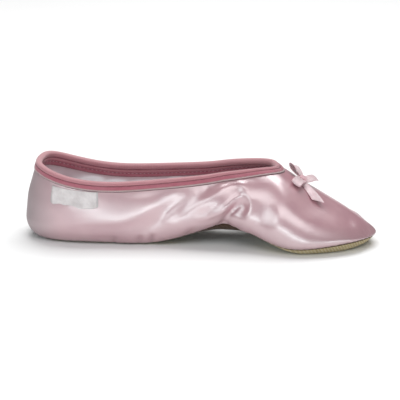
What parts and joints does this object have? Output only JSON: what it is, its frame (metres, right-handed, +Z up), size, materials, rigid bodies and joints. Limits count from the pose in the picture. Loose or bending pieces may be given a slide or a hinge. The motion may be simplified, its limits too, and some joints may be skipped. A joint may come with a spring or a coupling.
{
  "type": "ballet slipper",
  "caption": "Soft satin ballet slipper with a bound collar, a turned suede sole lifted at the arch, a heel-side label and a small ribbon bow on the vamp.",
  "frame": {"origin": "on the floor, under the middle of the shoe's box", "axes": "+X from heel to toe, +Y to the wearer's left, +Z up"},
  "size_m": [0.22, 0.0728, 0.0496],
  "materials": {
    "pink_satin": "glossy satin with a cotton lining",
    "beige_suede": "matt suede with a fine diagonal rib",
    "white_cotton": "matt",
    "rose_tape": "matt woven tape",
    "white_label": "smooth woven",
    "pink_ribbon": "satin ribbon"
  },
  "bodies": {
    "root": {"upper": "pink_satin", "sole": "beige_suede", "insole": "white_cotton", "collar_binding": "rose_tape", "side_label": "white_label", "bow_loop_right": "pink_ribbon", "bow_loop_left": "pink_ribbon", "bow_tail_right": "pink_ribbon", "bow_tail_left": "pink_ribbon", "bow_knot": "pink_ribbon"}
  },
  "joints": []
}
